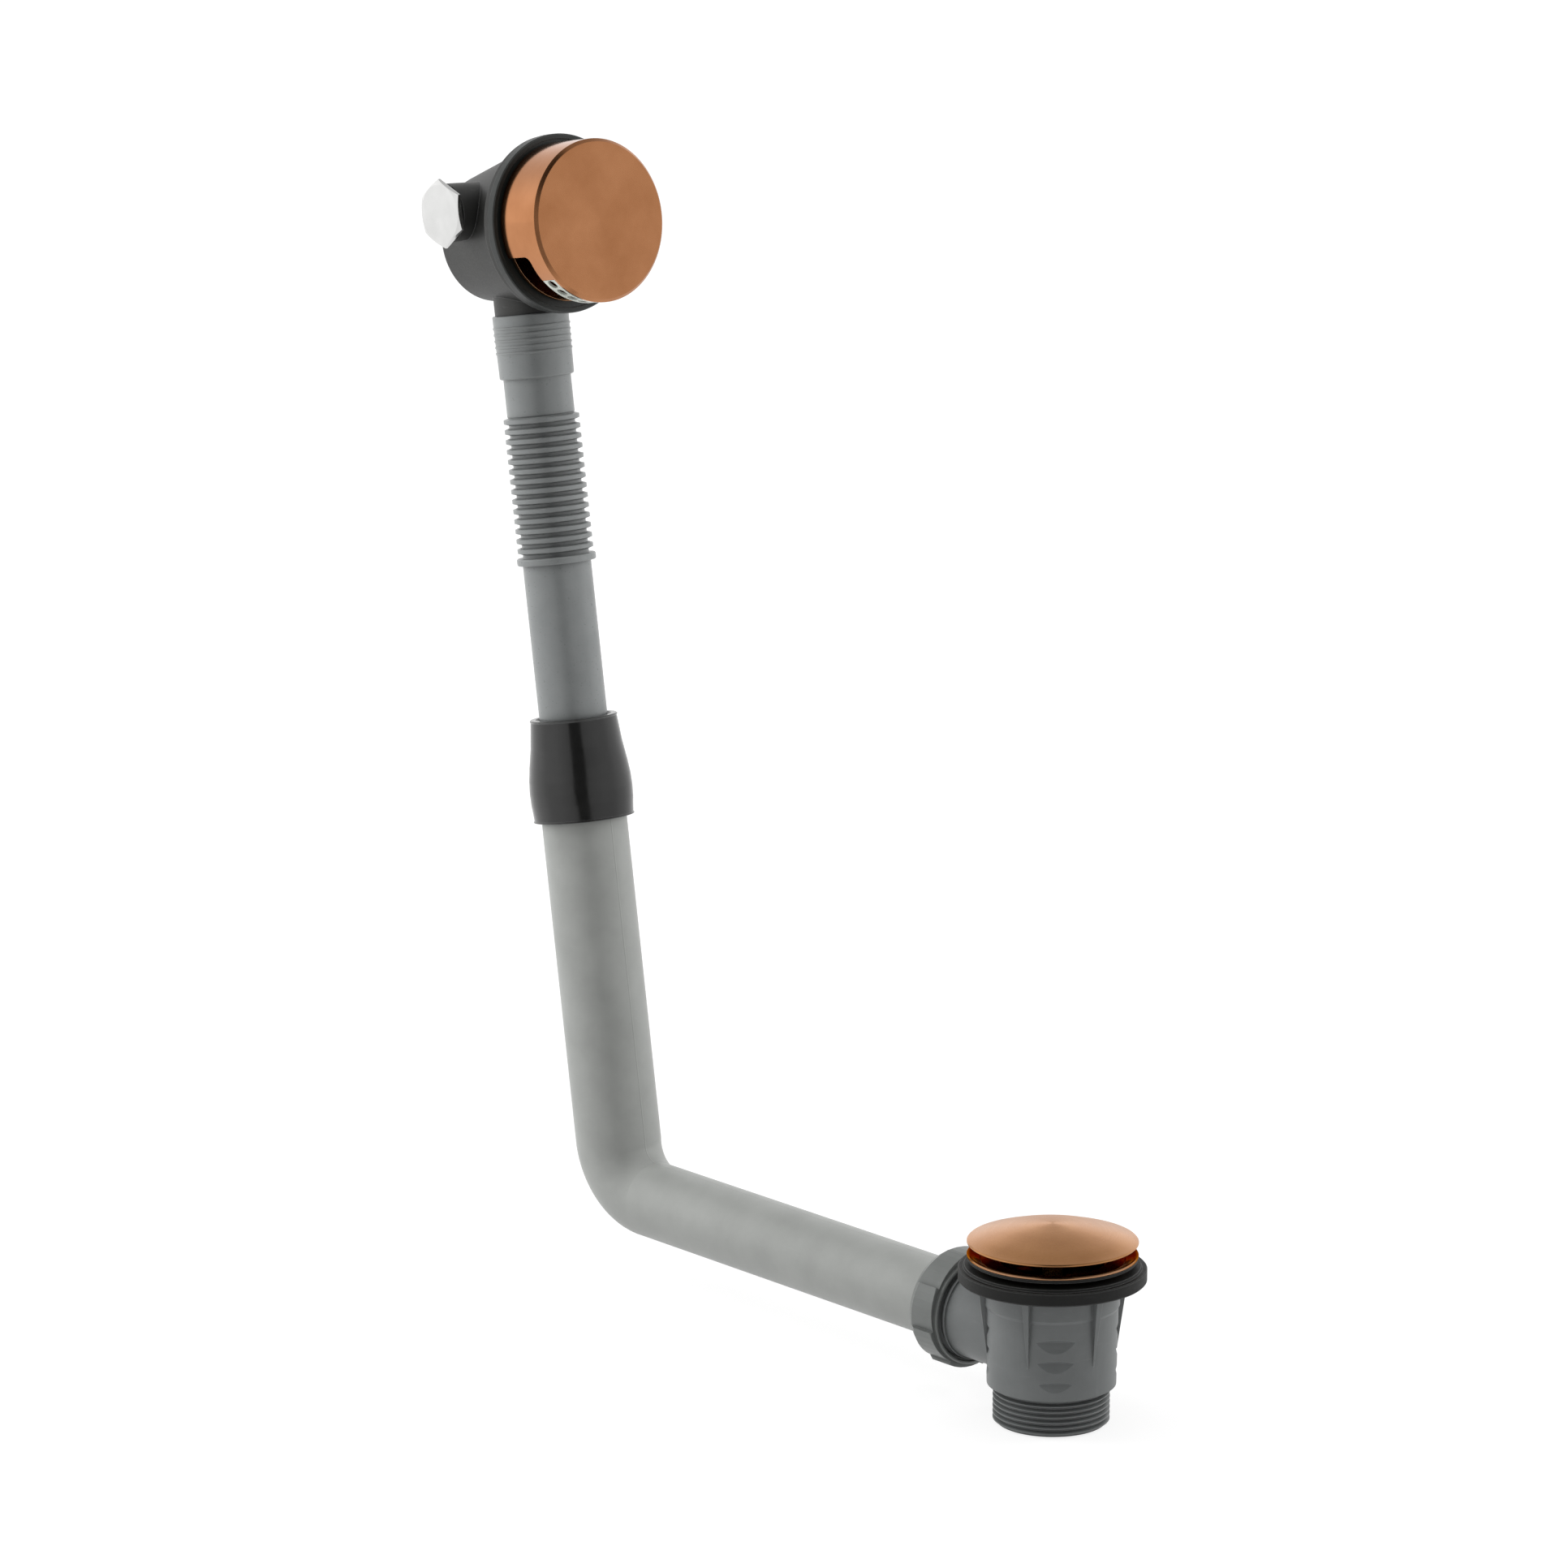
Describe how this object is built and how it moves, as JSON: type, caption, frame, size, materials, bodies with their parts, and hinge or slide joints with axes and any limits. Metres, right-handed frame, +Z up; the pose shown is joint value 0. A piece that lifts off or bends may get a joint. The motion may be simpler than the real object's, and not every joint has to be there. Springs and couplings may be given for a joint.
{
  "type": "bath waste and overflow",
  "caption": "Push-to-close bath waste with a raised round plug, joined by an elbow and telescopic corrugated tube to an overflow filler head with a round cap.",
  "frame": {"origin": "centre of the waste body's outlet at its lower end", "axes": "+Z up the waste's axis to the plug; -X along the lower pipe to the elbow; the overflow head looks towards +X"},
  "size_m": [0.406, 0.0996, 0.4956],
  "materials": {
    "body_grey": "moulded grey polypropylene, satin",
    "nut_grey": "moulded dark grey polypropylene, satin",
    "pipe_grey": "moulded light grey polypropylene, satin",
    "tube_grey": "blown light grey polyethylene, satin",
    "head_black": "moulded black polypropylene, satin",
    "gasket_black": "moulded black rubber",
    "seal_black": "moulded black rubber",
    "copper": "copper-plated brass, finely brushed and lacquered",
    "copper_polished": "copper-plated brass, polished",
    "brass": "turned brass",
    "chrome": "chrome-plated brass",
    "spring_steel": "bright spring wire",
    "strip_white": "moulded pale plastic"
  },
  "bodies": {
    "root": {"waste_body": "body_grey", "waste_gasket": "gasket_black", "waste_flange": "copper_polished", "flange_washer": "seal_black", "clicker_housing": "brass", "clicker_spring": "spring_steel", "latch_pin": "spring_steel", "union_nut": "nut_grey", "slip_ring": "body_grey", "cone_washer": "seal_black", "elbow_pipe": "pipe_grey", "slide_sleeve": "gasket_black"},
    "overflow": {"flexible_tube": "tube_grey", "spigot_ring": "seal_black", "overflow_body": "head_black", "overflow_gasket": "gasket_black", "overflow_insert": "copper_polished", "cap_ring": "seal_black", "overflow_cap": "copper", "flow_strip": "strip_white", "inlet_plug": "chrome", "inlet_plug_washer": "seal_black", "inlet_connector": "brass", "inlet_connector_washer": "seal_black"},
    "plug": {"clicker_stem": "brass", "plug_cover": "copper", "plug_seal": "seal_black"}
  },
  "joints": [
    {"name": "plug_press", "type": "slide", "parent": "root", "child": "plug", "axis": [0, 0, 1], "range_m": [-0.0041, 0], "stiffness_N_per_m": 400, "springref_m": 0.01, "deforming": ["clicker_spring"]},
    {"name": "overflow_telescope", "type": "slide", "parent": "root", "child": "overflow", "axis": [-0.1573, 0, 0.9876], "range_m": [-0.06, 0.04]}
  ]
}
